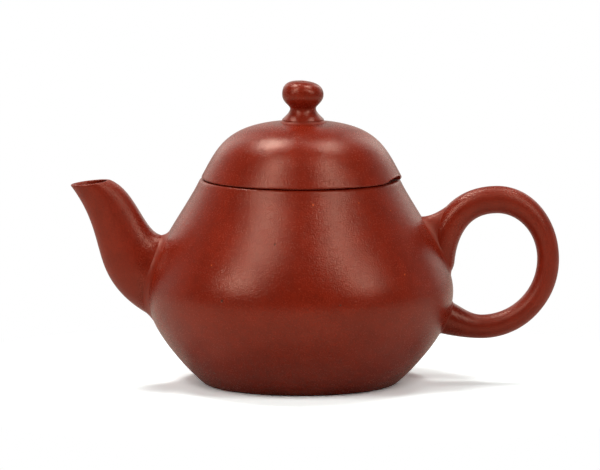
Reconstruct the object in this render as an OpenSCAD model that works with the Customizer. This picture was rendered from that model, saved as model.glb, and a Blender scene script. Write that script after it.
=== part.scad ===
// Small pear-shaped clay teapot with a domed lid, built in the way a potter builds it: a shaped
// body wall on a base disc, a ring inside the mouth, and a thrown lid, knob, spout and handle
// that are luted on with clay slip.  Millimetres.  The origin is on the axis of the body, at the
// plane that the pot rests on; +Z is up, the spout points along -X and the handle along +X.

/* [Body] */
// Outside diameter at the belly, the widest place
belly_d = 75.2; // [62:0.1:92]
// Height of the belly above the table
belly_z = 22.6; // [19:0.1:26]
// Height of the mouth rim above the table
mouth_z = 50.3; // [41:0.1:62]
// Outside diameter of the mouth rim
mouth_d = 48.8; // [44:0.1:54]
// Outside diameter where the body meets the table
foot_d = 47.6; // [40:0.1:56]
// Thickness of the body wall
wall = 2.4; // [1.9:0.1:3.2]
// Slope of the wall where it leaves the table, in degrees
foot_angle = 42; // [35:1:60]
// Length over which the lower wall keeps the slope of the foot
foot_pull = 9.6; // [6:0.1:12]
// Fullness of the belly below its widest place
belly_pull_down = 8.0; // [5:0.1:10]
// Fullness of the belly above its widest place
belly_pull_up = 8.0; // [5:0.1:11]
// Lean of the wall at the mouth rim, in degrees from upright
mouth_angle = 25; // [10:1:30]
// Length over which the shoulder keeps the lean of the mouth
mouth_pull = 9.3; // [6:0.1:12]

/* [Base] */
// Thickness of the base disc
base_t = 2.6; // [2:0.1:3.5]
// Width of the ring that the pot rests on
foot_land = 3.6; // [2.5:0.1:5]
// Height of the base disc above the table
base_lift = 0.7; // [0.3:0.1:1.2]
// Size of the fillet of slip inside, between base and wall
base_fillet = 3.0; // [1.5:0.1:4]

/* [Mouth] */
// Diameter of the hole that the lid's flange drops into
mouth_hole_d = 38.8; // [32:0.1:41]
// Thickness of the ring inside the mouth
mouth_ring_t = 3.0; // [2:0.1:4]

/* [Lid] */
// Outside diameter of the lid at its edge
lid_d = 49.4; // [45:0.1:55]
// Height of the dome from its edge to its crown
dome_h = 13.9; // [11:0.1:17]
// Lean of the dome at its edge, in degrees from upright
lid_angle = 29; // [15:1:40]
// Length over which the dome keeps the lean of its edge
lid_pull = 8.9; // [6:0.1:10.5]
// Half width of the flat crown
crown_pull = 18.8; // [12:0.1:20]
// Thickness of the dome
lid_wall = 2.4; // [1.8:0.1:3]
// Thickness of the flat land under the dome
lid_land_t = 1.8; // [1.2:0.1:2.6]
// Depth of the flange below the edge of the lid
flange_h = 5.0; // [3:0.1:8]
// Thickness of the flange
flange_t = 1.9; // [1.4:0.1:2.6]
// Size of the fillet of slip inside the lid
lid_fillet = 2.0; // [1:0.1:3]
// Diameter of the vent hole
vent_d = 1.3; // [1:0.1:2]
// How far the lid rests to the handle's side, within its play in the mouth
lid_offset = 0.4; // [0:0.05:0.5]

/* [Knob] */
// Diameter of the knob at its widest
knob_d = 10.1; // [8:0.1:13]
// Diameter of the knob's neck
knob_neck_d = 6.3; // [4.5:0.1:7.4]
// Diameter of the knob's foot
knob_foot_d = 10.2; // [7.6:0.1:12]
// Height of the neck above the crown
knob_neck_z = 3.1; // [2.5:0.1:4.5]
// Height of the widest place above the crown
knob_wide_z = 6.5; // [5.5:0.1:8.5]
// Height of the knob above the crown
knob_h = 9.9; // [9:0.1:13]
// Fullness of the knob's upper half: 0.55 is an ellipse, and more is squarer
knob_fullness = 0.7; // [0.5:0.01:0.8]
// Size of the fillet of slip round the knob's foot
knob_fillet = 0.7; // [0.4:0.1:1.6]
// How far the knob is set from the lid's centre, towards the handle
knob_offset = 0.25; // [0:0.05:0.5]

/* [Spout] */
// Reach of the spout's tip beyond the belly
spout_reach = 18.8; // [14:0.1:24]
// Drop of the spout's tip below the mouth rim
spout_drop = 1.6; // [0:0.1:4]
// Length of the spout's mouth, front to back
spout_mouth_l = 9.8; // [7:0.1:12]
// Rise of the spout's mouth from front to back
spout_mouth_rise = 1.2; // [0:0.1:2]
// Width of the spout's mouth, side to side
spout_mouth_w = 9.0; // [7:0.1:12]
// Width of the spout at its root, side to side
spout_root_w = 15.5; // [12:0.1:20]
// Height above the table at which the spout's front line enters the wall
spout_low_z = 14.4; // [12:0.1:18]
// Height above the table at which the spout's back line enters the wall
spout_high_z = 38.2; // [34:0.1:41]
// Depth inside the wall at which the spout's lines begin, beyond the wall's thickness
spout_sink = 0.3; // [0.1:0.1:1]
// Direction of the spout's front line as it leaves the wall, in degrees from +X
spout_low_angle = 154; // [145:0.5:165]
// Length over which the front line keeps that direction
spout_low_pull = 23.9; // [18:0.1:28]
// Direction of the spout's front line at the tip, in degrees from +X
spout_tip_angle = 127.5; // [110:0.5:140]
// Length over which the front line has that direction
spout_tip_pull = 18.7; // [12:0.1:22]
// Direction of the spout's back line as it leaves the wall, in degrees from +X
spout_high_angle = 219; // [200:0.5:230]
// Length over which the back line keeps that direction
spout_high_pull = 12.0; // [8:0.1:15]
// Direction of the spout's back line at the mouth, in degrees from +X
spout_heel_angle = 158; // [140:0.5:170]
// Length over which the back line has that direction
spout_heel_pull = 9.4; // [6:0.1:14]
// Thickness of the spout's wall at its root
spout_wall = 2.2; // [1.6:0.1:3]
// Thickness of the spout's lip
spout_lip = 0.9; // [0.6:0.1:1.4]
// Reach of the spout's slip fillet along the spout
spout_fillet = 1.8; // [1:0.1:3]

/* [Strainer] */
// Diameter of one strainer hole
strainer_d = 2.3; // [1.6:0.1:3]
// Distance between neighbouring strainer holes
strainer_pitch = 3.7; // [3.2:0.1:4.2]
// Height of the middle strainer hole above the table
strainer_z = 26.4; // [24:0.1:29]

/* [Handle] */
// Distance of the handle's outermost middle line beyond the belly
handle_reach = 23.2; // [18:0.1:30]
// Distance of the handle's top beyond the belly
handle_top_x = 10.7; // [7:0.1:15]
// Drop of the handle's top middle line below the mouth rim
handle_drop = 5.25; // [3:0.05:9]
// Height of the outermost middle line above the table
handle_side_z = 30.5; // [26:0.1:34]
// Distance of the handle's lowest point beyond the belly
handle_low_x = 6.9; // [5:0.1:12]
// Height of the handle's lowest middle line above the table
handle_low_z = 13.7; // [11:0.1:17]
// Height above the table at which the upper end's middle line starts, inside the wall
handle_start_z = 24; // [21:0.1:30]
// Direction in which the middle line starts, in degrees from +X
handle_start_angle = 126; // [110:1:135]
// Length over which the middle line keeps that direction
handle_start_pull = 2.7; // [2:0.1:5]
// Length over which the middle line is level before its top
handle_top_pull = 15.3; // [10:0.1:17]
// Length over which the middle line is level past its lowest point
handle_low_pull = 4.4; // [3:0.1:8]
// Fall of the middle line as it leaves the wall at the lower end, in degrees
handle_end_angle = 19; // [10:1:25]
// Length over which the middle line keeps that fall
handle_end_pull = 5.7; // [5:0.1:10]
// Height above the table at which the lower end enters the wall
handle_end_z = 17.7; // [15:0.1:20]
// Thickness of the handle at its top
handle_top_t = 6.75; // [5:0.05:8]
// Thickness of the handle at its outermost place
handle_side_t = 5.4; // [4:0.1:7]
// Thickness of the handle at its lowest place
handle_low_t = 5.8; // [4:0.1:7]
// Thickness of the handle's upper end where it runs out down the body
handle_tail_t = 2.1; // [1.5:0.1:4]
// Thickness of the handle's upper end
handle_up_t = 7.6; // [6.5:0.1:10]
// Thickness of the handle's lower end
handle_end_t = 9.0; // [8:0.1:12]
// Width of the handle, side to side
handle_w = 6.6; // [5:0.1:8]
// Width of the handle's ends, side to side
handle_end_w = 8.4; // [6.5:0.1:10]
// Reach of the slip fillet along the handle's upper end
handle_up_fillet = 1.2; // [0.6:0.1:1.4]
// Slip heaped up in the crotch above the handle's upper end, on top of that reach
handle_up_heap = 2.8; // [0:0.1:3.4]
// Reach of the slip fillet along the handle's lower end
handle_low_fillet = 0.8; // [0.6:0.1:1.6]

/* [Fits] */
// Clearance all round between the lid's flange and the mouth
flange_clear = 0.7; // [0.6:0.05:1]
// Gap between the lid's edge and the mouth rim
seam_gap = 0.2; // [0.1:0.05:0.4]
// Depth to which luted pieces sink into the wall
lute_depth = 1.1; // [0.6:0.1:1.4]

/* [Hidden] */

clay = "#8c3020";
clay_dark = "#7a2819";
slip = "#9a3a26";

$fn = 96;
arc_steps = 12;          // bands along each curve of a thrown outline
sides = 28;              // sides of the spout's and handle's cross-sections
quarter = 0.5523;        // pull of a Bezier curve that follows a quarter of an ellipse
knit = 0.12;             // depth to which a thin edge of slip is smeared into its neighbour

belly_r = belly_d / 2;
foot_r = foot_d / 2;
mouth_r = mouth_d / 2;
lid_r = lid_d / 2;
seat_r = foot_r - foot_land;
floor_z = base_lift + base_t;
hole_r = mouth_hole_d / 2;
lid_z = mouth_z + seam_gap;
crown_z = lid_z + dome_h;

// ---- curves -------------------------------------------------------------------------------

// point and direction on a cubic Bezier curve
function bez(P, t) = pow(1 - t, 3) * P[0] + 3 * pow(1 - t, 2) * t * P[1]
                   + 3 * (1 - t) * t * t * P[2] + pow(t, 3) * P[3];
function bez_dir(P, t) = let (d = 3 * pow(1 - t, 2) * (P[1] - P[0])
                                + 6 * (1 - t) * t * (P[2] - P[1])
                                + 3 * t * t * (P[3] - P[2])) d / norm(d);

// point beside a curve, on its left
function beside(P, t, d) = let (v = bez_dir(P, t)) bez(P, t) + d * [-v[1], v[0]];

// chain of curves as points, moved sideways by d
function chain(curves, d = 0) = [
    for (i = [0 : len(curves) - 1])
        for (k = [0 : arc_steps - (i < len(curves) - 1 ? 1 : 0)])
            beside(curves[i], k / arc_steps, d)];

// points in reverse order, and the points whose height lies between two heights
function back(v) = [for (i = [len(v) - 1 : -1 : 0]) v[i]];
function between(v, lo, hi) = [for (p = v) if (p[1] > lo + 0.01 && p[1] < hi - 0.01) p];

// radius of an outline at a height
function table(v) = [for (p = v) [p[1], p[0]]];
function polar(r, a) = r * [cos(a), sin(a)];

// ---- thrown outlines ------------------------------------------------------------------------

foot_p = [foot_r, 0];
belly_p = [belly_r, belly_z];
mouth_p = [mouth_r, mouth_z];
body_curves = [
    [foot_p, foot_p + polar(foot_pull, foot_angle), belly_p - [0, belly_pull_down], belly_p],
    [belly_p, belly_p + [0, belly_pull_up], mouth_p - polar(mouth_pull, 90 + mouth_angle),
     mouth_p]];
body_outside = chain(body_curves);
body_inside = concat(chain(body_curves, wall), [mouth_p - [wall / cos(mouth_angle), 0]]);
outside_table = table(body_outside);
inside_table = table(body_inside);

lid_edge = [lid_r, lid_z];
crown_p = [0, crown_z];
lid_curve = [lid_edge, lid_edge + polar(lid_pull, 90 + lid_angle),
             crown_p + [crown_pull, 0], crown_p];
lid_outside = chain([lid_curve]);
lid_inside_r = lid_r - lid_wall / cos(lid_angle);
lid_inside = concat([[lid_inside_r, lid_z]],
                    between(chain([lid_curve], lid_wall), lid_z, crown_z - lid_wall),
                    [[0, crown_z - lid_wall]]);

function wall_r(z) = lookup(z, outside_table);
function inside_r(z) = lookup(z, inside_table);
function lid_in_r(z) = lookup(z, table(lid_inside));

// ---- shapes swept between two edge lines ------------------------------------------------------

// height by which a point stands out from the body's outside, measured level
function proud(p) = norm([p[0], p[1]]) - wall_r(p[2]);

// parameter at which a line leaves the wall, with a height h above the wall's outside
function leave(line, h, lo, hi, n = 22) = n == 0 ? (lo + hi) / 2
    : let (mid = (lo + hi) / 2)
      proud(line(mid)) < h ? leave(line, h, mid, hi, n - 1) : leave(line, h, lo, mid, n - 1);

// closed solid over rings that each hold the same number of points
module ring_solid(rings, looped = false) {
    n = len(rings[0]);
    m = len(rings);
    ends = looped ? [] : [for (r = [rings[0], rings[m - 1]]) [for (k = [0 : 2])
        sumv([for (p = r) p[k]]) / n]];
    skin = [for (i = [0 : looped ? m - 1 : m - 2]) for (j = [0 : n - 1])
        let (a = i * n + j, b = i * n + (j + 1) % n,
             c = ((i + 1) % m) * n + (j + 1) % n, d = ((i + 1) % m) * n + j)
        each [[a, b, c], [a, c, d]]];
    caps = looped ? [] : [for (j = [0 : n - 1])
        each [[m * n, (j + 1) % n, j], [m * n + 1, (m - 1) * n + j, (m - 1) * n + (j + 1) % n]]];
    polyhedron(concat([for (r = rings) each r], ends), concat(skin, caps), convexity = 8);
}
function sumv(v, i = 0) = i == len(v) ? 0 : v[i] + sumv(v, i + 1);

// smooth step between the values listed with their places along a sweep
function blend(s, v, i = 0) = i >= len(v) - 2 || s <= v[i + 1][0]
    ? v[i][1] + (v[i + 1][1] - v[i][1]) * (1 - cos(180 * (s - v[i][0]) / (v[i + 1][0] - v[i][0]))) / 2
    : blend(s, v, i + 1);

// Spout: point at place t (root 0, tip 1) and angle a round it, grown outwards by g
spout_in = wall + spout_sink;
spout_tip = [-(belly_r + spout_reach), mouth_z - spout_drop];
spout_heel = spout_tip + [spout_mouth_l, spout_mouth_rise];
spout_low = [spout_in - wall_r(spout_low_z), spout_low_z];
spout_high = [spout_in - wall_r(spout_high_z), spout_high_z];
spout_front = [spout_low, spout_low + polar(spout_low_pull, spout_low_angle),
               spout_tip - polar(spout_tip_pull, spout_tip_angle), spout_tip];
spout_back = [spout_high, spout_high + polar(spout_high_pull, spout_high_angle),
              spout_heel - polar(spout_heel_pull, spout_heel_angle), spout_heel];
function spout_point(t, a, g) =
    let (f = bez(spout_front, t), b = bez(spout_back, t), half = norm(b - f) / 2,
         u = (b - f) / (2 * half), c = (f + b) / 2,
         w = spout_root_w / 2 + (spout_mouth_w - spout_root_w) / 2 * (1 - pow(1 - t, 2)),
         q = c + (half + g) * cos(a) * u)
    [q[0], (w + g) * sin(a), q[1]];
function spout_wall_t(t) = spout_wall + (spout_lip - spout_wall) * t;

// Handle: the same, from its upper end (0) over the top, the outside and the bottom (1)
start_in = wall + 0.4;   // depths inside the body's outside at which the middle line begins
end_in = wall + 3.35;    // and ends
handle_top = [belly_r + handle_top_x, mouth_z - handle_drop];
handle_side = [belly_r + handle_reach, handle_side_z];
handle_low = [belly_r + handle_low_x, handle_low_z];
handle_start = [wall_r(handle_start_z) - start_in, handle_start_z];
handle_end = [wall_r(handle_end_z) - end_in, handle_end_z];
handle_curves = [
    [handle_start, handle_start + polar(handle_start_pull, handle_start_angle),
     handle_top - [handle_top_pull, 0], handle_top],
    [handle_top, handle_top + [quarter * (handle_side[0] - handle_top[0]), 0],
     handle_side + [0, quarter * (handle_top[1] - handle_side[1])], handle_side],
    [handle_side, handle_side - [0, quarter * (handle_side[1] - handle_low[1])],
     handle_low + [quarter * (handle_side[0] - handle_low[0]), 0], handle_low],
    [handle_low, handle_low - [handle_low_pull, 0],
     handle_end + polar(handle_end_pull, -handle_end_angle), handle_end]];
handle_t = [[0, handle_tail_t], [0.08, handle_up_t], [0.25, handle_top_t], [0.5, handle_side_t],
            [0.75, handle_low_t], [1, handle_end_t]];
handle_b = [[0, handle_end_w], [0.25, handle_w], [0.75, handle_w], [1, handle_end_w]];
function handle_point(s, a, g) =
    let (i = min(floor(s * 4), 3), t = s * 4 - i, c = bez(handle_curves[i], t),
         v = bez_dir(handle_curves[i], t),
         q = c + (blend(s, handle_t) / 2 + g) * cos(a) * [-v[1], v[0]])
    [q[0], (blend(s, handle_b) / 2 + g) * sin(a), q[1]];

// place along a sweep at which its line at angle a reaches height h above the wall
function spout_leaves(a, g, h) = leave(function (t) spout_point(t, a, g), h, 0, 0.6);
function upper_leaves(a, g, h) = leave(function (s) handle_point(s, a, g), h, 0, 0.24);
function lower_leaves(a, g, h) = 1 - leave(function (s) handle_point(1 - s, a, g), h, 0, 0.24);

angles = [for (j = [0 : sides - 1]) 360 * j / sides];

// Fillet of slip round a root: its edge on the wall, its edge on the stem, and the curve between,
// which is hollow, but fuller where slip is heaped on the outer side
module slip_fillet(point, leaves, reach, heap = 0) {
    bury = 0.6;
    heaped = [for (a = angles) heap * pow(max(cos(a), 0), 3)];
    wall_edge = [for (j = [0 : sides - 1]) let (a = angles[j], r = reach + heaped[j])
        point(leaves(a, r, -knit), a, r)];
    stem_edge = [for (j = [0 : sides - 1]) let (a = angles[j], r = reach + heaped[j])
        point(leaves(a, -knit, r), a, -knit)];
    corner = [for (j = [0 : sides - 1]) let (a = angles[j], full = heaped[j] / (reach + heaped[j]))
        (1 - full) * point(leaves(a, 0, 0), a, 0) + full * (wall_edge[j] + stem_edge[j]) / 2];
    inner = [for (a = angles) point(leaves(a, -bury, -bury), a, -bury)];
    skin = [for (k = [0 : 5]) let (t = k / 5) [for (j = [0 : sides - 1])
        pow(1 - t, 2) * wall_edge[j] + 2 * t * (1 - t) * corner[j] + t * t * stem_edge[j]]];
    ring_solid(concat(skin, [inner]), looped = true);
}

// ---- pieces ------------------------------------------------------------------------------------

module body_wall() {
    spare = 5;           // length by which the strainer's cuts run past the wall
    pierce = [for (k = [0 : 6]) k == 0 ? [0, 0] : polar(strainer_pitch, 60 * k)];
    color(clay) difference() {
        rotate_extrude() polygon(concat(
            [[seat_r, 0]], body_outside, back(between(body_inside, floor_z, mouth_z + 1)),
            [[inside_r(floor_z), floor_z], [seat_r, floor_z]]));
        for (p = pierce)
            translate([-(belly_r - wall - spare), p[0], strainer_z + p[1]])
                rotate([0, -90, 0]) cylinder(d = strainer_d, h = wall + 2 * spare, $fn = 32);
    }
}

module base_disc() {
    color(clay_dark) translate([0, 0, base_lift]) cylinder(r = seat_r, h = base_t);
}

module base_slip_ring() {
    top_z = floor_z + base_fillet;
    toe = [seat_r - base_fillet / 2, floor_z];
    heel = [inside_r(floor_z), floor_z];
    top = [inside_r(top_z), top_z];
    hollow = [top, top - [base_fillet / 2, base_fillet / 2], toe + [base_fillet, 0.3], toe];
    color(slip) rotate_extrude() polygon(concat(
        [heel], between(body_inside, floor_z, top_z), chain([hollow])));
}

module mouth_ring() {
    low_z = mouth_z - mouth_ring_t;
    ease = 0.8;          // eased lower edge of the hole
    color(clay_dark) rotate_extrude() polygon(concat(
        [[hole_r, low_z + ease], [hole_r + ease, low_z], [inside_r(low_z), low_z]],
        between(body_inside, low_z, mouth_z),
        [[inside_r(mouth_z), mouth_z], [hole_r, mouth_z]]));
}

module spout() {
    rows = 16;
    outer = [for (i = [0 : rows]) [for (a = angles)
        let (t0 = spout_leaves(a, 0, -lute_depth)) spout_point(t0 + (1 - t0) * i / rows, a, 0)]];
    inner = [for (i = [rows : -1 : 0]) [for (a = angles)
        let (t0 = spout_leaves(a, -spout_wall, -lute_depth), t = t0 + (1 - t0) * i / rows)
        spout_point(t, a, -spout_wall_t(t))]];
    color(clay) ring_solid(concat(outer, inner), looped = true);
}

module spout_slip_fillet() {
    color(slip) slip_fillet(function (t, a, g) spout_point(t, a, g),
                            function (a, g, h) spout_leaves(a, g, h), spout_fillet);
}

module handle() {
    rows = 56;
    rings = [for (i = [0 : rows]) [for (a = angles)
        let (s0 = upper_leaves(a, 0, -lute_depth), s1 = lower_leaves(a, 0, -lute_depth))
        handle_point(s0 + (s1 - s0) * i / rows, a, 0)]];
    color(clay) ring_solid(rings);
}

module handle_upper_slip_fillet() {
    color(slip) slip_fillet(function (s, a, g) handle_point(s, a, g),
                            function (a, g, h) upper_leaves(a, g, h),
                            handle_up_fillet, handle_up_heap);
}

module handle_lower_slip_fillet() {
    color(slip) slip_fillet(function (s, a, g) handle_point(s, a, g),
                            function (a, g, h) lower_leaves(a, g, h), handle_low_fillet);
}

// places what is on the lid, and what is on the knob, where they rest
module on_lid() {
    translate([lid_offset, 0, 0]) children();
}
module on_knob() {
    translate([lid_offset + knob_offset, 0, crown_z]) children();
}

module vent() {
    translate([lid_offset + knob_offset, 0, lid_z]) cylinder(d = vent_d, h = crown_z + knob_h, $fn = 32);
}

module lid_dome() {
    color(clay) difference() {
        on_lid() rotate_extrude() polygon(concat(lid_outside, back(lid_inside)));
        vent();
    }
}

module lid_flange() {
    out_r = hole_r - flange_clear;
    in_r = out_r - flange_t;
    land_z = lid_z + lid_land_t;
    ease = 0.5;          // eased lower edge of the flange
    color(clay_dark) on_lid() rotate_extrude() polygon(concat(
        [[in_r, lid_z - flange_h], [out_r - ease, lid_z - flange_h],
         [out_r, lid_z - flange_h + ease], [out_r, lid_z]],
        [[lid_inside_r, lid_z]], between(lid_inside, lid_z, land_z),
        [[lid_in_r(land_z), land_z], [in_r, land_z]]));
}

module lid_slip_ring() {
    low_z = lid_z + lid_land_t;
    top_z = low_z + lid_fillet;
    top = [lid_in_r(top_z), top_z];
    toe = [lid_in_r(low_z) - lid_fillet, low_z];
    hollow = [top, top - [lid_fillet / 2, lid_fillet / 2], toe + [lid_fillet / 2, 0.2], toe];
    color(slip) on_lid() rotate_extrude() polygon(concat(
        [[lid_in_r(low_z), low_z]], between(lid_inside, low_z, top_z), chain([hollow])));
}

module knob() {
    sunk = 0.3;          // depth to which the foot is pressed into the crown
    foot = [knob_foot_d / 2, 0.5];
    neck = [knob_neck_d / 2, knob_neck_z];
    wide = [knob_d / 2, knob_wide_z];
    top = [0, knob_h];
    low_rise = knob_wide_z - knob_neck_z;
    top_rise = knob_h - knob_wide_z;
    outline = concat([[0, -sunk], [foot[0], -sunk]], chain([
        [foot, foot + [-0.7, 0.7], neck - [0, low_rise / 4], neck],
        [neck, neck + [0, low_rise / 4], wide - [0, low_rise * quarter], wide],
        [wide, wide + [0, top_rise * knob_fullness], top + [knob_d / 2 * knob_fullness, 0], top]]));
    color(clay) difference() {
        on_knob() rotate_extrude() polygon(outline);
        vent();
    }
}

module knob_slip_fillet() {
    foot = knob_foot_d / 2;
    color(slip) on_knob() rotate_extrude() polygon(concat(
        [[foot - knit, -0.2], [foot + knob_fillet, -0.2]],
        chain([[[foot + knob_fillet, -0.05], [foot + knob_fillet / 3, 0],
                [foot, knob_fillet / 6], [foot - knit, 0.5]]])));
}

body_wall();
base_disc();
base_slip_ring();
mouth_ring();
spout();
spout_slip_fillet();
handle();
handle_upper_slip_fillet();
handle_lower_slip_fillet();
lid_dome();
lid_flange();
lid_slip_ring();
knob();
knob_slip_fillet();
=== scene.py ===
import math

import bpy
import numpy as np
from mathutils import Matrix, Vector, noise


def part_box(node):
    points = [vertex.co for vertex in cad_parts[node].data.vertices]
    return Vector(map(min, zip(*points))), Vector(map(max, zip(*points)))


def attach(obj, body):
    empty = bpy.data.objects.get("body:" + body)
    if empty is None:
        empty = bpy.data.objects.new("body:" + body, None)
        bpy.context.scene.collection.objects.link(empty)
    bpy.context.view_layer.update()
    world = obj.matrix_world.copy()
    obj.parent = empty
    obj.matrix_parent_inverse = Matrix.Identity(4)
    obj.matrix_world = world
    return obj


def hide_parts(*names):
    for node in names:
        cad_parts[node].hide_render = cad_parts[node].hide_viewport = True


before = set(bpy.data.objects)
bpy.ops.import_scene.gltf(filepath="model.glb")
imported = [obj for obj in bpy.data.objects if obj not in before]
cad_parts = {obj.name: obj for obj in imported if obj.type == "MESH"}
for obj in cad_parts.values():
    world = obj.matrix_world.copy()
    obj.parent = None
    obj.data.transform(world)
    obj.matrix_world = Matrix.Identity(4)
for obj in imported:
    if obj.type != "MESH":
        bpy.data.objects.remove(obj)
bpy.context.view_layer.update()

MM = 0.001


# ---- sizes, in millimetres, read from the frame where it holds them --------------------------

def span(node):
    """Lowest and highest corner of a CAD node, in millimetres."""
    low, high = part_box(node)
    return np.array(low) / MM, np.array(high) / MM


WALL_LOW, WALL_HIGH = span("body_wall")
DISC_LOW, DISC_HIGH = span("base_disc")
RING_LOW, RING_HIGH = span("mouth_ring")
DOME_LOW, DOME_HIGH = span("lid_dome")
FLANGE_LOW = span("lid_flange")[0]
KNOB_LOW, KNOB_HIGH = span("knob")
SPOUT_LOW = span("spout")[0]

WALL = 2.4
BELLY_R = (WALL_HIGH[0] - WALL_LOW[0]) / 2
BELLY_Z = 22.6
MOUTH_Z = WALL_HIGH[2]
MOUTH_R = 24.4
MOUTH_ANGLE = 25
MOUTH_PULL = 9.3
BELLY_PULL = 8.0
FOOT_R = 23.8
FOOT_ANGLE = 42
FOOT_PULL = 9.6
SEAT_R = DISC_HIGH[0]
BASE_LIFT = DISC_LOW[2]
FLOOR_Z = DISC_HIGH[2]
HOLE_R = 19.4
RING_T = RING_HIGH[2] - RING_LOW[2]

LID_X = (DOME_LOW[0] + DOME_HIGH[0]) / 2
LID_R = (DOME_HIGH[0] - DOME_LOW[0]) / 2
LID_Z = DOME_LOW[2]
CROWN_Z = DOME_HIGH[2]
LID_ANGLE = 29
LID_PULL = 8.9
CROWN_PULL = 18.8
LID_WALL = 2.4
LAND_T = 1.8
FLANGE_H = LID_Z - FLANGE_LOW[2]
FLANGE_T = 1.9
FLANGE_GAP = 0.7
FLANGE_R = HOLE_R - FLANGE_GAP

KNOB_X = (KNOB_LOW[0] + KNOB_HIGH[0]) / 2
KNOB_H = KNOB_HIGH[2] - CROWN_Z
KNOB_FOOT_R = 5.1
KNOB_NECK_R = 3.15
KNOB_WIDE_R = 5.05
KNOB_NECK_Z = 3.1
KNOB_WIDE_Z = 6.5
KNOB_FULLNESS = 0.7
VENT_R = 0.65

HOLE_D = 2.3
HOLE_PITCH = 3.7
HOLE_Z = 26.4

# How deep roots sink into the wall, and how far pieces of slip bite into their neighbours
LUTE_DEPTH = 1.1
KNIT = 0.12

# Share of the radius at which a cubic curve's control points make a quarter of an ellipse
QUARTER = 0.5523


# ---- curves and outlines ---------------------------------------------------------------------

def polar(radius, degrees):
    return radius * np.array([math.cos(math.radians(degrees)), math.sin(math.radians(degrees))])


def bez(points, t):
    """Points on a cubic Bezier curve at the parameters t."""
    p = [np.asarray(q, float) for q in points]
    t = np.asarray(t, float)[..., None]
    return ((1 - t) ** 3 * p[0] + 3 * (1 - t) ** 2 * t * p[1]
            + 3 * (1 - t) * t ** 2 * p[2] + t ** 3 * p[3])


def bez_dir(points, t):
    """Unit directions of a cubic Bezier curve at the parameters t."""
    p = [np.asarray(q, float) for q in points]
    t = np.asarray(t, float)[..., None]
    d = ((1 - t) ** 2 * (p[1] - p[0]) + 2 * (1 - t) * t * (p[2] - p[1])
         + t ** 2 * (p[3] - p[2]))
    return d / np.linalg.norm(d, axis=-1, keepdims=True)


def beside(points, t, distance):
    """Points beside a curve, at a distance to its left."""
    d = bez_dir(points, t)
    return bez(points, t) + distance * np.stack([-d[..., 1], d[..., 0]], -1)


def chain(curves, distance=0.0, steps=40):
    """The points of several curves in a row."""
    t = np.linspace(0, 1, steps + 1)
    parts = [beside(c, t if k == len(curves) - 1 else t[:-1], distance)
             for k, c in enumerate(curves)]
    return np.vstack(parts)


def between(points, low, high):
    keep = (points[:, 1] > low + 0.01) & (points[:, 1] < high - 0.01)
    return points[keep]


def eased(before, corner, after, radius, steps=5):
    """A corner of an outline, rounded over the given radius."""
    a, b, c = (np.asarray(q, float) for q in (before, corner, after))
    p = b + radius * (a - b) / np.linalg.norm(a - b)
    q = b + radius * (c - b) / np.linalg.norm(c - b)
    t = np.linspace(0, 1, steps + 1)[:, None]
    return (1 - t) ** 2 * p + 2 * t * (1 - t) * b + t * t * q


def flat(a, b, steps=4):
    """Points along a straight stretch, without its ends."""
    t = np.linspace(0, 1, steps + 2)[1:-1, None]
    return (1 - t) * np.asarray(a, float) + t * np.asarray(b, float)


FOOT = np.array([FOOT_R, 0])
BELLY = np.array([BELLY_R, BELLY_Z])
MOUTH = np.array([MOUTH_R, MOUTH_Z])
BODY_CURVES = [
    [FOOT, FOOT + polar(FOOT_PULL, FOOT_ANGLE), BELLY - [0, BELLY_PULL], BELLY],
    [BELLY, BELLY + [0, BELLY_PULL], MOUTH - polar(MOUTH_PULL, 90 + MOUTH_ANGLE), MOUTH]]
BODY_OUTSIDE = chain(BODY_CURVES)
RIM_IN = MOUTH - [WALL / math.cos(math.radians(MOUTH_ANGLE)), 0]
BODY_INSIDE = np.vstack([chain(BODY_CURVES, WALL), RIM_IN])


def wall_r(z):
    return np.interp(z, BODY_OUTSIDE[:, 1], BODY_OUTSIDE[:, 0])


def inside_r(z):
    return float(np.interp(z, BODY_INSIDE[:, 1], BODY_INSIDE[:, 0]))


LID_EDGE = np.array([LID_R, LID_Z])
CROWN = np.array([0, CROWN_Z])
LID_CURVE = [LID_EDGE, LID_EDGE + polar(LID_PULL, 90 + LID_ANGLE), CROWN + [CROWN_PULL, 0], CROWN]
LID_IN_R = LID_R - LID_WALL / math.cos(math.radians(LID_ANGLE))
LID_OUTSIDE = chain([LID_CURVE], steps=90)
LID_INSIDE = np.vstack([[LID_IN_R, LID_Z],
                        between(chain([LID_CURVE], LID_WALL, 60), LID_Z, CROWN_Z - LID_WALL),
                        [0, CROWN_Z - LID_WALL]])


def lid_out_r(z):
    return float(np.interp(z, LID_OUTSIDE[:, 1], LID_OUTSIDE[:, 0]))


def lid_in_r(z):
    return float(np.interp(z, LID_INSIDE[:, 1], LID_INSIDE[:, 0]))


# ---- node trees ------------------------------------------------------------------------------

class Out:
    """An output socket of a node. Arithmetic on it adds Math nodes."""

    def __init__(self, graph, socket):
        self.graph, self.socket = graph, socket

    def math(self, operation, *values):
        return self.graph.node("ShaderNodeMath", {"operation": operation}, list(values))[0]

    def __add__(self, other):
        return self.math("ADD", self, other)

    def __radd__(self, other):
        return self.math("ADD", other, self)

    def __sub__(self, other):
        return self.math("SUBTRACT", self, other)

    def __rsub__(self, other):
        return self.math("SUBTRACT", other, self)

    def __mul__(self, other):
        return self.math("MULTIPLY", self, other)

    def __rmul__(self, other):
        return self.math("MULTIPLY", other, self)

    def __truediv__(self, other):
        return self.math("DIVIDE", self, other)

    def __mod__(self, other):
        return self.math("FLOORED_MODULO", self, other)

    def floor(self):
        return self.math("FLOOR", self)


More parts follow.
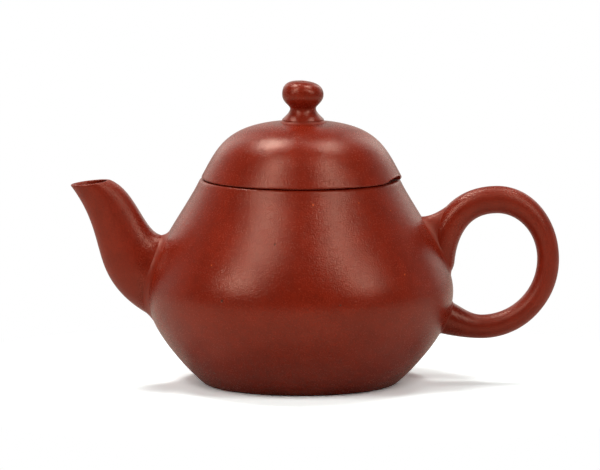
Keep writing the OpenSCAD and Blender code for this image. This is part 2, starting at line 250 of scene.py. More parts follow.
class Graph:
    """A node tree, to which nodes are added one by one."""

    def __init__(self, tree):
        self.tree = tree

    def node(self, kind, settings=None, inputs=None):
        """Adds a node, sets its settings first and then its sockets; returns its outputs."""
        made = self.tree.nodes.new(kind)
        for name, value in (settings or {}).items():
            if name == "stops":
                self.set_stops(made.color_ramp, value)
            else:
                setattr(made, name, value)
        pairs = enumerate(inputs) if isinstance(inputs, list) else (inputs or {}).items()
        for name, value in pairs:
            if isinstance(value, Out):
                self.tree.links.new(value.socket, made.inputs[name])
            elif value is not None:
                made.inputs[name].default_value = value
        return [Out(self, s) for s in made.outputs]

    @staticmethod
    def set_stops(ramp, stops):
        while len(ramp.elements) < len(stops):
            ramp.elements.new(1.0)
        for element, (place, grey) in zip(ramp.elements, stops):
            element.position = place
            element.color = (grey, grey, grey, 1)

    def ramp(self, value, *stops):
        return self.node("ShaderNodeValToRGB", {"stops": stops}, [value])[0]

    def mix(self, factor, a, b, blend="MIX"):
        settings = {"data_type": "RGBA", "blend_type": blend}
        return self.node("ShaderNodeMix", settings, {0: factor, 6: a, 7: b})[2]


def geometry_graph(name, sockets):
    """A Geometry Nodes tree with the named inputs; returns its graph and the inputs."""
    tree = bpy.data.node_groups.new(name, "GeometryNodeTree")
    tree.interface.new_socket("Geometry", in_out="INPUT", socket_type="NodeSocketGeometry")
    for label, kind in sockets:
        tree.interface.new_socket(label, in_out="INPUT", socket_type="NodeSocket" + kind)
    tree.interface.new_socket("Geometry", in_out="OUTPUT", socket_type="NodeSocketGeometry")
    graph = Graph(tree)
    outs = graph.node("NodeGroupInput")
    return graph, {o.socket.name: o for o in outs if o.socket.name}


def close_tree(graph, geometry, material):
    """Ends a Geometry Nodes tree in Realize Instances and Set Material."""
    real = graph.node("GeometryNodeRealizeInstances", None, [geometry])[0]
    done = graph.node("GeometryNodeSetMaterial", None, {"Geometry": real, "Material": material})[0]
    graph.node("NodeGroupOutput", None, [done])


def lathe_tree():
    """Turns an outline that lies in the XZ plane round the Z axis."""
    graph, given = geometry_graph("lathe", [("Segments", "Int"), ("Material", "Material")])
    outline = given["Geometry"]
    count = graph.node("GeometryNodeAttributeDomainSize", {"component": "MESH"}, [outline])[0]
    grid = graph.node("GeometryNodeMeshGrid", None,
                      {"Vertices X": given["Segments"] + 1, "Vertices Y": count})[0]
    index = graph.node("GeometryNodeInputIndex")[0]
    place = graph.node("GeometryNodeInputPosition")[0]
    settings = {"data_type": "FLOAT_VECTOR", "domain": "POINT"}
    point = graph.node("GeometryNodeSampleIndex", settings,
                       {"Geometry": outline, "Value": place, "Index": index % count})[0]
    turn = (index / count).floor() * math.tau / given["Segments"]
    spun = graph.node("ShaderNodeVectorRotate", {"rotation_type": "Z_AXIS"},
                      {"Vector": point, "Angle": turn})[0]
    placed = graph.node("GeometryNodeSetPosition", None, {"Geometry": grid, "Position": spun})[0]
    welded = graph.node("GeometryNodeMergeByDistance", None,
                        {"Geometry": placed, "Distance": 0.0005 * MM})[0]
    close_tree(graph, welded, given["Material"])
    return graph.tree


def pierce_tree():
    """Cuts a middle hole, and a ring of holes round it, along the Z axis of a shell."""
    graph, given = geometry_graph("pierce", [
        ("Hole Radius", "Float"), ("Pitch", "Float"), ("Ring Holes", "Int"),
        ("Depth", "Float"), ("Place", "Vector"), ("Turn", "Vector"), ("Material", "Material")])
    ring = graph.node("GeometryNodeMeshCircle", None,
                      {"Vertices": given["Ring Holes"], "Radius": given["Pitch"]})[0]
    middle = graph.node("GeometryNodeMeshLine", None, {"Count": 1})[0]
    join = graph.tree.nodes.new("GeometryNodeJoinGeometry")
    for part in (ring, middle):
        graph.tree.links.new(part.socket, join.inputs[0])
    single = graph.node("GeometryNodeMergeByDistance", None,
                        {"Geometry": Out(graph, join.outputs[0]), "Distance": 0.01 * MM})[0]
    spots = graph.node("GeometryNodeTransform", None,
                       {"Geometry": single, "Translation": given["Place"],
                        "Rotation": given["Turn"]})[0]
    bit = graph.node("GeometryNodeMeshCylinder", None,
                     {"Vertices": 40, "Radius": given["Hole Radius"], "Depth": given["Depth"]})[0]
    turn = graph.node("FunctionNodeEulerToRotation", None, [given["Turn"]])[0]
    bits = graph.node("GeometryNodeInstanceOnPoints", None,
                      {"Points": spots, "Instance": bit, "Rotation": turn})[0]
    real = graph.node("GeometryNodeRealizeInstances", None, [bits])[0]
    cut = graph.node("GeometryNodeMeshBoolean", {"operation": "DIFFERENCE", "solver": "EXACT"},
                     {"Mesh 1": given["Geometry"], "Mesh 2": real})[0]
    close_tree(graph, cut, given["Material"])
    return graph.tree


def grow(obj, tree, values):
    """Runs a Geometry Nodes tree on an object and keeps the result as its plain mesh."""
    modifier = obj.modifiers.new(tree.name, "NODES")
    modifier.node_group = tree
    keys = {item.name: item.identifier for item in tree.interface.items_tree
            if item.in_out == "INPUT"}
    for name, value in values.items():
        modifier[keys[name]] = value
    obj.update_tag()
    depsgraph = bpy.context.evaluated_depsgraph_get()
    mesh = bpy.data.meshes.new_from_object(obj.evaluated_get(depsgraph), depsgraph=depsgraph)
    obj.modifiers.remove(modifier)
    obj.data = mesh
    return obj


# ---- making pieces ---------------------------------------------------------------------------

def new_object(name, points, edges, faces):
    mesh = bpy.data.meshes.new(name)
    mesh.from_pydata([tuple(p) for p in points], edges, faces)
    obj = bpy.data.objects.new(name, mesh)
    bpy.context.scene.collection.objects.link(obj)
    return obj


def coords(obj):
    co = np.empty(len(obj.data.vertices) * 3)
    obj.data.vertices.foreach_get("co", co)
    return co.reshape(-1, 3)


def set_coords(obj, co):
    obj.data.vertices.foreach_set("co", np.asarray(co, float).ravel())
    obj.data.update()


def outward(obj):
    """Turns a closed mesh's faces outwards."""
    mesh = obj.data
    co = coords(obj)
    mesh.calc_loop_triangles()
    tri = np.array([t.vertices for t in mesh.loop_triangles])
    a, b, c = (co[tri[:, k]] for k in range(3))
    if np.einsum("ij,ij->i", a, np.cross(b, c)).sum() < 0:
        mesh.flip_normals()


def smooth(obj, degrees=40):
    mesh = obj.data
    mesh.polygons.foreach_set("use_smooth", [True] * len(mesh.polygons))
    mesh.set_sharp_from_angle(angle=math.radians(degrees))


# The unevenness of hand work comes from one fixed seed, so that every run gives the same pot
HAND_SEED = 1
noise.seed_set(HAND_SEED)


def hand_worked(co):
    """The slight unevenness of hand work: one smooth field that all pieces share."""
    lump_size, lump_depth = 24 * MM, 0.20 * MM
    dimple_size, dimple_depth = 8 * MM, 0.035 * MM
    settled = 6 * MM     # height below which the pot keeps flat on the floor
    moved = co.copy()
    for k, p in enumerate(co):
        v = Vector(p)
        lump = noise.noise_vector(v / lump_size + Vector((3.1, 7.7, 1.3)))
        dimple = noise.noise_vector(v / dimple_size + Vector((9.2, 0.4, 5.8)))
        shift = lump * lump_depth + dimple * dimple_depth
        shift.z *= min(max(p[2] / settled, 0.0), 1.0) * 0.4
        moved[k] = p + np.array(shift)
    return moved


def finished(obj, node, body):
    """Shapes and shades a piece that stands for a CAD node, hangs it under its body's empty and
    hides the node.
    """
    set_coords(obj, hand_worked(coords(obj)))
    outward(obj)
    smooth(obj)
    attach(obj, body)
    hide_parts(node)
    return obj


LATHE = lathe_tree()
PIERCE = pierce_tree()


def smooth_step(low, high, value):
    u = np.clip((value - low) / (high - low), 0, 1)
    return u * u * (3 - 2 * u)


def turned(name, outline, material, centre_x=0.0, closed=True, segments=200):
    """A piece turned from an outline of (radius, height) points."""
    outline = np.asarray(outline, float)
    if closed:
        outline = np.vstack([outline, outline[:1]])
    points = [(r * MM, 0, z * MM) for r, z in outline]
    edges = [(k, k + 1) for k in range(len(points) - 1)]
    obj = new_object(name, points, edges, [])
    grow(obj, LATHE, {"Segments": segments, "Material": material})
    set_coords(obj, coords(obj) + [centre_x * MM, 0, 0])
    return obj


def pierced(obj, material, radius, pitch, holes, depth, place, turn):
    values = {"Hole Radius": radius * MM, "Pitch": pitch * MM, "Ring Holes": holes,
              "Depth": depth * MM, "Place": [c * MM for c in place], "Turn": turn,
              "Material": material}
    return grow(obj, PIERCE, values)


def ring_solid(name, rings, looped, material):
    """A closed mesh over rings of points; open ends get a cap."""
    rings = np.asarray(rings, float)
    m, n = rings.shape[:2]
    points = rings.reshape(-1, 3) * MM
    j = np.arange(n)
    faces = []
    for i in range(m if looped else m - 1):
        a, b = i * n, ((i + 1) % m) * n
        faces += [(a + k, a + (k + 1) % n, b + (k + 1) % n, b + k) for k in j]
    if not looped:
        ends = np.array([rings[0].mean(0), rings[-1].mean(0)]) * MM
        points = np.vstack([points, ends])
        last = (m - 1) * n
        faces += [(m * n, (k + 1) % n, k) for k in j]
        faces += [(m * n + 1, last + k, last + (k + 1) % n) for k in j]
    obj = new_object(name, points, [], faces)
    obj.data.materials.append(material)
    return obj


# ---- materials -------------------------------------------------------------------------------

# Single marks on the skin: angle from the front in degrees, height and radius
PITS = [(-30, 24.5, 0.30), (-46, 5, 0.22), (15, 24, 0.18), (-11, 38, 0.20), (35, 51.5, 0.16)]
SPECKS = [(7, 47, 0.24), (33, 47, 0.16), (45, 30, 0.20), (53, 44.5, 0.15), (-38, 32.5, 0.16)]

DARK_GRIT = (0.05, 0.012, 0.008, 1)
LIGHT_GRIT = (0.62, 0.16, 0.07, 1)
SPECK_COLOUR = (0.70, 0.12, 0.03, 1)
# Near-black for the pits: painted shade that stands in for the shade inside the small hollows
PIT_SHADE = (0.02, 0.006, 0.005, 1)
GLOSS_TINT = (1.0, 0.62, 0.50, 1)
RELIEF = 0.085


def on_skin(turn, z):
    """The place on the outside at an angle from the front and a height, in metres."""
    r = wall_r(z) if z < LID_Z else lid_out_r(z)
    a = math.radians(turn)
    return hand_worked(np.array([[r * math.sin(a), -r * math.cos(a), z]]) * MM)[0]


def shade(colour, share):
    return tuple(c * share for c in colour[:3]) + (1,)


def clay(name, deep, warm, roughness):
    """Burnished red clay: mottled colour, fine grain, grit, specks, small pits darkened with painted
    shade, and rubbing marks.
    """
    material = bpy.data.materials.new(name)
    material.use_nodes = True
    material.node_tree.nodes.clear()
    graph = Graph(material.node_tree)
    place = graph.node("ShaderNodeTexCoord")[3]

    def cloud(size, detail=2.0, where=place):
        """Soft noise with patches of about the given size."""
        return graph.node("ShaderNodeTexNoise", None, {
            "Vector": where, "Scale": 1 / (size * MM), "Detail": detail, "Roughness": 0.5})[0]

    def spots(size, share, radius):
        """Round spots of a radius, in a share of the cells of a size; 1 inside."""
        cell = graph.node("ShaderNodeTexVoronoi", None, {"Vector": place, "Scale": 1 / (size * MM)})
        chosen = graph.ramp(graph.node("ShaderNodeSeparateColor", None, [cell[1]])[0],
                            (1 - share - 0.001, 0.0), (1 - share, 1.0))
        core, rim = radius / size, 1.6 * radius / size
        inside = graph.ramp(cell[0], (0.0, 1.0), (core, 0.75), (rim, 0.0))
        return chosen * inside

    def marks(places):
        """Single marks at the places listed with their radii; 1 inside."""
        total = 0.0
        for turn, z, radius in places:
            gap = graph.node("ShaderNodeVectorMath", {"operation": "DISTANCE"},
                             [place, tuple(on_skin(turn, z))])[1]
            total = total + graph.ramp(gap / (5 * radius * MM), (0.1, 1.0), (0.3, 0.0))
        return total

    def scaled(x, y, z):
        return graph.node("ShaderNodeMapping", None, {"Vector": place, "Scale": (x, y, z)})[0]

    mottle = cloud(14, 3.0)
    patchy = cloud(3.2)
    grain = cloud(0.34, 3.0)
    peel = cloud(0.9)
    rubbed = cloud(6, 3.0, scaled(1, 1, 8))
    dark = spots(1.5, 0.10, 0.13)
    light = spots(1.9, 0.09, 0.13)
    pits = marks(PITS) + spots(9, 0.10, 0.20)
    specks = marks(SPECKS)

    colour = graph.mix(graph.ramp(mottle, (0.35, 0.0), (0.65, 1.0)), deep, warm)
    colour = graph.mix(graph.ramp(patchy, (0.35, 0.25), (0.6, 0.0)), colour, shade(deep, 0.6))
    colour = graph.mix(graph.ramp(grain, (0.32, 0.4), (0.6, 0.0)), colour, shade(deep, 0.5))
    colour = graph.mix(dark * 0.5, colour, DARK_GRIT)
    colour = graph.mix(light * 0.3, colour, LIGHT_GRIT)
    colour = graph.mix(specks, colour, SPECK_COLOUR)
    # The pits are darkened towards near-black: painted shade in the hollows that the bump sinks
    colour = graph.mix(pits * 0.9, colour, PIT_SHADE)

    # Spout and handle lie beyond the belly, and are burnished less than the body and the lid
    off_axis = graph.node("ShaderNodeVectorMath", {"operation": "LENGTH"}, [scaled(1, 1, 0)])[1]
    unburnished = graph.ramp(off_axis * 10, (0.385, 0.0), (0.43, 1.0)) * 0.14
    uneven = (grain - 0.5) * 0.20 + (rubbed - 0.5) * 0.06
    dullness = roughness + unburnished + uneven + pits * 0.3
    height = grain * 1.0 + peel * 0.35 + rubbed * 0.2 - pits * 1.5
    bump = graph.node("ShaderNodeBump", None,
                      {"Strength": 0.8, "Distance": RELIEF * MM, "Height": height})[0]
    shader = graph.node("ShaderNodeBsdfPrincipled", None, {
        "Base Color": colour, "Roughness": dullness, "Normal": bump, "IOR": 1.6,
        "Specular Tint": GLOSS_TINT})[0]
    graph.node("ShaderNodeOutputMaterial", None, [shader])
    return material


RED_CLAY = clay("red_clay", (0.26, 0.017, 0.005, 1), (0.32, 0.024, 0.008, 1), 0.25)
BASE_CLAY = clay("base_clay", (0.25, 0.020, 0.006, 1), (0.31, 0.028, 0.010, 1), 0.60)
SLIP = clay("slip", (0.27, 0.019, 0.006, 1), (0.33, 0.026, 0.009, 1), 0.40)


# ---- the pot's turned pieces -----------------------------------------------------------------

def body_wall():
    ease = 0.7
    spare = 5
    foot_before, rim_before = BODY_OUTSIDE[3], BODY_OUTSIDE[-4]
    outline = np.vstack([
        [SEAT_R, 0], flat((SEAT_R, 0), (FOOT_R - ease, 0), 3),
        eased((SEAT_R, 0), FOOT, foot_before, ease),
        between(BODY_OUTSIDE, ease * 0.7, MOUTH_Z - ease * 0.95),
        eased(rim_before, MOUTH, RIM_IN, ease),
        RIM_IN,
        between(BODY_INSIDE[::-1], FLOOR_Z, MOUTH_Z),
        [[inside_r(FLOOR_Z), FLOOR_Z], [SEAT_R, FLOOR_Z]]])
    obj = turned("body_wall_clay", outline, RED_CLAY)
    outward(obj)
    pierced(obj, RED_CLAY, HOLE_D / 2, HOLE_PITCH, 6, WALL + 2 * spare,
            (-(BELLY_R - WALL), 0, HOLE_Z), (0, math.radians(90), 0))
    return finished(obj, "body_wall", "pot")


def base_disc():
    low, high = BASE_LIFT, FLOOR_Z
    outline = np.vstack([
        [0, low], flat((0, low), (SEAT_R - 0.5, low), 24),
        eased((0, low), (SEAT_R, low), (SEAT_R, high), 0.25), [SEAT_R, high],
        flat((SEAT_R, high), (0, high), 24), [0, high]])
    obj = turned("base_disc_clay", outline, BASE_CLAY, closed=False)
    return finished(obj, "base_disc", "pot")


def base_slip_ring():
    size = 3.0
    top_z = FLOOR_Z + size
    heel = np.array([inside_r(FLOOR_Z), FLOOR_Z])
    top = np.array([inside_r(top_z), top_z])
    toe = np.array([SEAT_R - size / 2, FLOOR_Z])
    hollow = [top, top - [size / 2, size / 2], toe + [size, 0.3], toe]
    outline = np.vstack([heel, between(BODY_INSIDE, FLOOR_Z, top_z),
                         chain([hollow], steps=16), flat(toe, heel, 6)])
    obj = turned("base_slip_ring_clay", outline, SLIP)
    return finished(obj, "base_slip_ring", "pot")


def mouth_ring():
    low = MOUTH_Z - RING_T
    top_in = np.array([HOLE_R, MOUTH_Z])
    foot_in = np.array([HOLE_R, low])
    outline = np.vstack([
        eased((HOLE_R, MOUTH_Z), foot_in, (HOLE_R + 3, low), 0.8),
        [inside_r(low), low], between(BODY_INSIDE, low, MOUTH_Z), RIM_IN,
        eased(RIM_IN, top_in, foot_in, 0.35)])
    obj = turned("mouth_ring_clay", outline, RED_CLAY)
    return finished(obj, "mouth_ring", "pot")


# ---- the lid's turned pieces -----------------------------------------------------------------

# The chip's outline: angle from the front in degrees, and height above the lid's edge
CHIP = [(55, 0), (57, 0.3), (60, 0.5), (62, 0.9), (64, 0.8), (67, 1.2), (70, 1.1), (73, 1.3),
        (76, 1.2), (79, 1.0), (81, 0)]


def chip_rim(obj):
    """Breaks a small chip out of the lid's lower edge, towards the handle."""
    co = coords(obj)
    turn = np.degrees(np.arctan2(co[:, 0] - LID_X * MM, -co[:, 1]))
    rise = np.interp(turn, *np.array(CHIP).T) * MM
    reach = np.hypot(co[:, 0] - LID_X * MM, co[:, 1])
    deep = smooth_step((LID_R - 2.3) * MM, (LID_R - 1.8) * MM, reach)
    near = co[:, 2] < (LID_Z + 1.5) * MM
    lifted = np.maximum(co[:, 2], LID_Z * MM + rise * deep)
    co[:, 2] = np.where(near, lifted, co[:, 2])
    set_coords(obj, co)


def lid_dome():
    ease = 0.6
    outline = np.vstack([
        LID_INSIDE[::-1], flat(LID_INSIDE[0], LID_EDGE - [ease, 0], 9),
        eased((LID_IN_R, LID_Z), LID_EDGE, LID_OUTSIDE[3], ease),
        between(LID_OUTSIDE, LID_Z + ease * 0.85, CROWN_Z + 1)[:-1], [0, CROWN_Z]])
    obj = turned("lid_dome_clay", outline, RED_CLAY, centre_x=LID_X, closed=False, segments=360)
    chip_rim(obj)
    outward(obj)
    pierced(obj, RED_CLAY, VENT_R, 0.0, 3, 12, (KNOB_X, 0, CROWN_Z), (0, 0, 0))
    return finished(obj, "lid_dome", "lid")


def lid_flange():
    in_r = FLANGE_R - FLANGE_T
    low, land = LID_Z - FLANGE_H, LID_Z + LAND_T
    outline = np.vstack([
        eased((in_r, land), (in_r, low), (FLANGE_R, low), 0.4),
        eased((in_r, low), (FLANGE_R, low), (FLANGE_R, LID_Z), 0.5),
        flat((FLANGE_R, low + 0.5), (FLANGE_R, LID_Z), 3),
        [[FLANGE_R, LID_Z], [LID_IN_R, LID_Z]], between(LID_INSIDE, LID_Z, land),
        [[lid_in_r(land), land], [in_r, land]]])
    obj = turned("lid_flange_clay", outline, BASE_CLAY, centre_x=LID_X)
    return finished(obj, "lid_flange", "lid")


def lid_slip_ring():
    size = 2.0
    low, top_z = LID_Z + LAND_T, LID_Z + LAND_T + size
    top = np.array([lid_in_r(top_z), top_z])
    toe = np.array([lid_in_r(low) - size, low])
    hollow = [top, top - [size / 2, size / 2], toe + [size / 2, 0.2], toe]
    outline = np.vstack([[lid_in_r(low), low], between(LID_INSIDE, low, top_z),
                         chain([hollow], steps=16)])
    obj = turned("lid_slip_ring_clay", outline, SLIP, centre_x=LID_X)
    return finished(obj, "lid_slip_ring", "lid")


def knob():
    sunk = 0.3
    tilt = 0.07
    foot = np.array([KNOB_FOOT_R, 0.5])
    neck = np.array([KNOB_NECK_R, KNOB_NECK_Z])
    wide = np.array([KNOB_WIDE_R, KNOB_WIDE_Z])
    top = np.array([0, KNOB_H])
    low_rise, top_rise = KNOB_WIDE_Z - KNOB_NECK_Z, KNOB_H - KNOB_WIDE_Z
    skin = chain([
        [foot, foot + [-0.7, 0.7], neck - [0, low_rise / 4], neck],
        [neck, neck + [0, low_rise / 4], wide - [0, low_rise * QUARTER], wide],
        [wide, wide + [0, top_rise * KNOB_FULLNESS],
         top + [KNOB_WIDE_R * KNOB_FULLNESS, 0], top]], steps=24)
    skin = skin[skin[:, 0] > VENT_R + 0.5]
    lip = eased(skin[-1], (VENT_R, skin[-1, 1] + 0.02), (VENT_R, 0), 0.4)
    outline = np.vstack([
        [VENT_R, -sunk], flat((VENT_R, -sunk), (KNOB_FOOT_R, -sunk), 4), [KNOB_FOOT_R, -sunk],
        skin, lip, flat((VENT_R, KNOB_H - 1), (VENT_R, 0), 8)])
    outline[:, 1] += CROWN_Z
    obj = turned("knob_clay", outline, RED_CLAY, centre_x=KNOB_X, segments=120)
    co = coords(obj)
    high = smooth_step((CROWN_Z + 5) * MM, KNOB_HIGH[2] * MM, co[:, 2])
    co[:, 2] -= tilt * high * (co[:, 0] - KNOB_X * MM)
    set_coords(obj, co)
    return finished(obj, "knob", "lid")


def knob_slip_fillet():
    foot, size, sunk = KNOB_FOOT_R, 1.1, 0.3
    edge_z = float(np.interp(foot + size, LID_OUTSIDE[::-1, 0], LID_OUTSIDE[::-1, 1])) - CROWN_Z
    skin = chain([[(foot + size, edge_z - 0.04), (foot + size / 3, edge_z + 0.02),
                   (foot, size / 8), (foot - 0.3, 0.7)]], steps=14)
    outline = np.vstack([[(foot - KNIT, -sunk), (foot + size, edge_z - 0.2)], skin])
    outline[:, 1] += CROWN_Z
    obj = turned("knob_slip_fillet_clay", outline, SLIP, centre_x=KNOB_X, segments=120)
    return finished(obj, "knob_slip_fillet", "lid")


# ---- spout and handle ------------------------------------------------------------------------

def leave(line, height, low, high):
    """Where lines leave the wall, at a height above its outside; one value for each angle."""
    low, high = np.broadcast_arrays(np.asarray(low, float), np.asarray(high, float))
    for _ in range(40):
        middle = (low + high) / 2
        p = line(middle)
        inside = np.hypot(p[..., 0], p[..., 1]) - wall_r(p[..., 2]) < height
        low, high = np.where(inside, middle, low), np.where(inside, high, middle)
    return (low + high) / 2


def stations(place, table):
    """Smooth steps between the values that a table lists with their places."""
    s = np.asarray(place, float)
    x, y = np.array(table, float).T
    i = np.clip(np.searchsorted(x, s, side="right") - 1, 0, len(x) - 2)
    u = np.clip((s - x[i]) / (x[i + 1] - x[i]), 0, 1)
    return y[i] + (y[i + 1] - y[i]) * (1 - np.cos(np.pi * u)) / 2


def root(z, depth):
    return float(wall_r(z)) - depth


ROOT_DEPTH = 2.7
TIP = np.array([SPOUT_LOW[0], 48.7])
HEEL = TIP + [9.8, 1.2]
LOW_ROOT = np.array([-root(14.4, ROOT_DEPTH), 14.4])
HIGH_ROOT = np.array([-root(38.2, ROOT_DEPTH), 38.2])
# The spout's outlines in the middle plane, with the pull and angle of each end
SPOUT_FRONT = [LOW_ROOT, LOW_ROOT + polar(23.9, 154), TIP - polar(18.7, 127.5), TIP]
SPOUT_BACK = [HIGH_ROOT, HIGH_ROOT + polar(12, 219), HEEL - polar(9.4, 158), HEEL]
SPOUT_ROOT_W, SPOUT_MOUTH_W = 15.5, 9.0
SPOUT_WALL, SPOUT_LIP = 2.2, 0.9
SPOUT_LENGTH = 40.0


def spout_point(t, angle, grown):
    t, angle, grown = np.broadcast_arrays(t, angle, grown)
    front, back = bez(SPOUT_FRONT, t), bez(SPOUT_BACK, t)
    half = np.linalg.norm(back - front, axis=-1) / 2
    across = (back - front) / (2 * half[..., None])
    width = SPOUT_ROOT_W / 2 + (SPOUT_MOUTH_W - SPOUT_ROOT_W) / 2 * (1 - (1 - t) ** 2)
    q = (front + back) / 2 + ((half + grown) * np.cos(angle))[..., None] * across
    return np.stack([q[..., 0], (width + grown) * np.sin(angle), q[..., 1]], -1)


# The handle's highest, furthest and lowest place, and its ends inside the wall
TOP = np.array([BELLY_R + 10.7, MOUTH_Z - 5.25])
SIDE = np.array([BELLY_R + 23.2, 30.5])
LOW = np.array([BELLY_R + 6.9, 13.7])
START = np.array([root(24, 2.8), 24])
END = np.array([root(17.7, 5.75), 17.7])
HANDLE_CURVES = [
    [START, START + polar(2.7, 126), TOP - [15.3, 0], TOP],
    [TOP, TOP + [QUARTER * (SIDE[0] - TOP[0]), 0], SIDE + [0, QUARTER * (TOP[1] - SIDE[1])], SIDE],
    [SIDE, SIDE - [0, QUARTER * (SIDE[1] - LOW[1])], LOW + [QUARTER * (SIDE[0] - LOW[0]), 0], LOW],
    [LOW, LOW - [4.4, 0], END + polar(5.7, -19), END]]
# Thickness and width at places along the handle, from 0 at its start to 1 at its end
THICKNESS = [(0, 2.1), (0.08, 7.6), (0.25, 6.75), (0.5, 5.4), (0.75, 5.8), (1, 9.0)]
WIDTH = [(0, 8.4), (0.25, 6.6), (0.75, 6.6), (1, 8.4)]


def handle_point(s, angle, grown):
    s, angle, grown = np.broadcast_arrays(s, angle, grown)
    curve = np.minimum((s * 4).astype(int), 3)
    t = s * 4 - curve
    middle, ahead = np.zeros(s.shape + (2,)), np.zeros(s.shape + (2,))
    for k, c in enumerate(HANDLE_CURVES):
        here = curve == k
        middle[here], ahead[here] = bez(c, t[here]), bez_dir(c, t[here])
    side = np.stack([-ahead[..., 1], ahead[..., 0]], -1)
    half = stations(s, THICKNESS) / 2 + grown
    q = middle + (half * np.cos(angle))[..., None] * side
    return np.stack([q[..., 0], (stations(s, WIDTH) / 2 + grown) * np.sin(angle), q[..., 1]], -1)


def spout_leaves(angle, grown, height):
    return leave(lambda t: spout_point(t, angle, grown), height, 0 * angle, 0 * angle + 0.6)


def upper_leaves(angle, grown, height):
    return leave(lambda s: handle_point(s, angle, grown), height, 0 * angle, 0 * angle + 0.24)


def lower_leaves(angle, grown, height):
    return 1 - leave(lambda s: handle_point(1 - s, angle, grown), height,
                     0 * angle, 0 * angle + 0.24)


def angles(sides):
    return np.linspace(0, math.tau, sides, endpoint=False)


def spout():
    a = angles(96)
    u = np.linspace(0, 1, 72)[:, None]
    ease = 0.32
    end = 1 - ease / SPOUT_LENGTH
    out0 = spout_leaves(a, 0.0, -LUTE_DEPTH)
    in0 = spout_leaves(a, -SPOUT_WALL, -LUTE_DEPTH)
    out_t = out0 + (end - out0) * u
    in_t = (in0 + (end - in0) * u)[::-1]
    outer = spout_point(out_t, a, 0.0 * out_t)
    inner = spout_point(in_t, a, -(SPOUT_WALL + (SPOUT_LIP - SPOUT_WALL) * in_t))

    theta = np.linspace(0, math.pi / 2, 6)[1:, None]
    lip_t = 1 - (1 - end) * (1 - np.sin(theta)) + 0 * a
    drop = ease * (1 - np.cos(theta)) + 0 * a
    lip_out = spout_point(lip_t, a, -drop)
    lip_in = spout_point(lip_t[::-1], a, drop[::-1] - SPOUT_LIP)
    obj = ring_solid("spout_clay", np.concatenate([outer, lip_out, lip_in, inner]), True, RED_CLAY)
    return finished(obj, "spout", "pot")


def handle():
    a = angles(72)
    u = np.linspace(0, 1, 200)[:, None]
    s0, s1 = upper_leaves(a, 0.0, -LUTE_DEPTH), lower_leaves(a, 0.0, -LUTE_DEPTH)
    s = s0 + (s1 - s0) * u
    obj = ring_solid("handle_clay", handle_point(s, a, 0.0 * s), False, RED_CLAY)
    return finished(obj, "handle", "pot")


def slip_fillet(node, point, leaves, reach, heap=0.0, sides=120):
    """Slip smeared round a root: a hollow curve from the wall to the stem, and its buried back.

    Slip heaped on the outer side makes the curve fuller and runs further up the stem."""
    a = angles(sides)
    bury, climb = 0.6, 2.4
    heaped = heap * np.clip(np.cos(a), 0, 1) ** 3
    full = (heaped / (reach + heaped))[:, None]
    reach = reach + heaped
    on_wall = point(leaves(a, reach, -KNIT), a, reach)
    on_stem = point(leaves(a, -KNIT, reach + climb * heaped), a, -KNIT + 0 * a)
    corner = (1 - full) * point(leaves(a, 0.0, 0.0), a, 0 * a) + full * (on_wall + on_stem) / 2
    inner = point(leaves(a, -bury, -bury), a, -bury + 0 * a)
    t = np.linspace(0, 1, 13)[:, None, None]
    skin = (1 - t) ** 2 * on_wall + 2 * t * (1 - t) * corner + t * t * on_stem
    rings = np.concatenate([skin, [(on_stem + inner) / 2, inner, (inner + on_wall) / 2]])
    obj = ring_solid(node + "_clay", rings, True, SLIP)
    return finished(obj, node, "pot")


SPOUT_SLIP, UPPER_SLIP, UPPER_HEAP, LOWER_SLIP = 1.8, 1.2, 2.4, 0.8

body_wall()
base_disc()
base_slip_ring()
mouth_ring()
spout()
slip_fillet("spout_slip_fillet", spout_point, spout_leaves, SPOUT_SLIP)
handle()
slip_fillet("handle_upper_slip_fillet", handle_point, upper_leaves, UPPER_SLIP, heap=UPPER_HEAP)
slip_fillet("handle_lower_slip_fillet", handle_point, lower_leaves, LOWER_SLIP)
lid_dome()
lid_flange()
lid_slip_ring()
knob()
knob_slip_fillet()


# ---- floor, light and camera -----------------------------------------------------------------

LAMP_COLOUR = (1.0, 0.95, 0.87)
AIR_COLOUR = (1.0, 0.93, 0.84, 1)
FLOOR_BOUNCE = (0.62, 0.57, 0.53, 1)
FLOOR_LOOK = (1.70, 1.92, 2.06, 1)


def floor():
    """A plain floor that looks whiter than the light it throws back on the pot."""
    size = 6.0
    points = [(-size, -size, 0), (size, -size, 0), (size, size, 0), (-size, size, 0)]
    obj = new_object("floor", points, [], [(0, 1, 2, 3)])
    material = bpy.data.materials.new("floor_white")
    material.use_nodes = True
    material.node_tree.nodes.clear()
    graph = Graph(material.node_tree)
    dim = graph.node("ShaderNodeBsdfDiffuse", None, [FLOOR_BOUNCE])[0]
    white = graph.node("ShaderNodeBsdfDiffuse", None, [FLOOR_LOOK])[0]
    far = graph.node("ShaderNodeEmission", None, [(1, 1, 1, 1), 1.0])[0]
    spread = graph.node("ShaderNodeVectorMath", {"operation": "LENGTH"},
                        [graph.node("ShaderNodeTexCoord")[3]])[1]
    seen = graph.node("ShaderNodeLightPath")[0]
    distant = graph.ramp(spread, (0.035, 0.0), (0.10, 1.0))
    plain = graph.node("ShaderNodeMixShader", None, [distant, white, far])[0]
    mixed = graph.node("ShaderNodeMixShader", None, [seen, dim, plain])[0]
    graph.node("ShaderNodeOutputMaterial", None, [mixed])
    obj.data.materials.append(material)


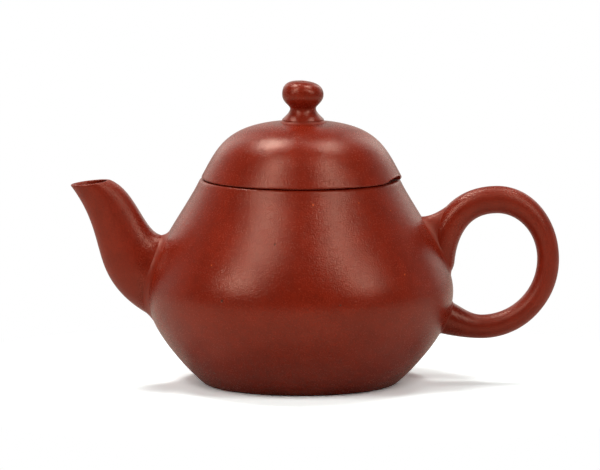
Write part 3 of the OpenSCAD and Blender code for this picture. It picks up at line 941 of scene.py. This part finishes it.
def soft_box(name, azimuth, elevation, distance, width, height, radiance):
    """A soft box that faces the pot; azimuth 0 is in front, and positive to the right."""
    light = bpy.data.lights.new(name, "AREA")
    light.shape = "RECTANGLE"
    light.size, light.size_y = width, height
    light.energy = radiance * math.pi * width * height
    light.color = LAMP_COLOUR
    obj = bpy.data.objects.new(name, light)
    bpy.context.scene.collection.objects.link(obj)
    obj.visible_camera = False
    a, e = math.radians(azimuth), math.radians(elevation)
    away = Vector((math.sin(a) * math.cos(e), -math.cos(a) * math.cos(e), math.sin(e)))
    obj.location = Vector((0, 0, 0.04)) + away * distance
    obj.rotation_mode = "QUATERNION"
    obj.rotation_quaternion = away.to_track_quat("Z", "Y")


def surroundings(front, back):
    """White to the camera; otherwise dim in front and brighter behind."""
    world = bpy.data.worlds.new("studio")
    bpy.context.scene.world = world
    world.use_nodes = True
    world.node_tree.nodes.clear()
    graph = Graph(world.node_tree)
    facing = graph.node("ShaderNodeSeparateXYZ", None, [graph.node("ShaderNodeTexCoord")[0]])
    behind = graph.ramp(facing[1] * 0.5 + 0.5, (0.50, 0.0), (0.85, 1.0))
    low = graph.ramp(facing[2], (0.2, 1.0), (0.7, 0.0))
    glow = front + behind * low * (back - front)
    lit = graph.node("ShaderNodeBackground", None, {"Color": AIR_COLOUR, "Strength": glow})[0]
    white = graph.node("ShaderNodeBackground", None, {"Strength": 1.0})[0]
    seen = graph.node("ShaderNodeLightPath")[0]
    mixed = graph.node("ShaderNodeMixShader", None, [seen, lit, white])[0]
    graph.node("ShaderNodeOutputWorld", None, [mixed])


def camera():
    distance, elevation = 1.8, 7.47
    aim = Vector((0, 0, 0.0363))
    view_width = 0.1470588     # width of the view at the pot, in metres
    data = bpy.data.cameras.new("camera")
    data.sensor_width = 36
    data.lens = data.sensor_width * distance / view_width
    data.clip_end = 20
    obj = bpy.data.objects.new("camera", data)
    bpy.context.scene.collection.objects.link(obj)
    e = math.radians(elevation)
    back = Vector((0, -math.cos(e), math.sin(e)))
    obj.location = aim + back * distance
    obj.rotation_mode = "QUATERNION"
    obj.rotation_quaternion = (-back).to_track_quat("-Z", "Y")
    bpy.context.scene.camera = obj


floor()
soft_box("front_left", -44, 52, 0.9, 0.21, 0.25, 9.5)
soft_box("front_right", 43, 51, 0.9, 0.18, 0.25, 9.3)
soft_box("side_left", -51, 29, 0.9, 0.20, 0.14, 17.0)
soft_box("side_right", 55, 30, 0.9, 0.20, 0.14, 12.5)
soft_box("top_left", -132, 64, 0.9, 0.34, 0.15, 21.0)
soft_box("top_right", 122, 68, 0.9, 0.32, 0.14, 13.0)
soft_box("back_left", -152, 25, 1.1, 0.36, 0.60, 0.9)
soft_box("back_right", 152, 25, 1.1, 0.36, 0.60, 1.2)
surroundings(0.05, 0.7)
camera()
bpy.context.scene.view_settings.view_transform = "Standard"
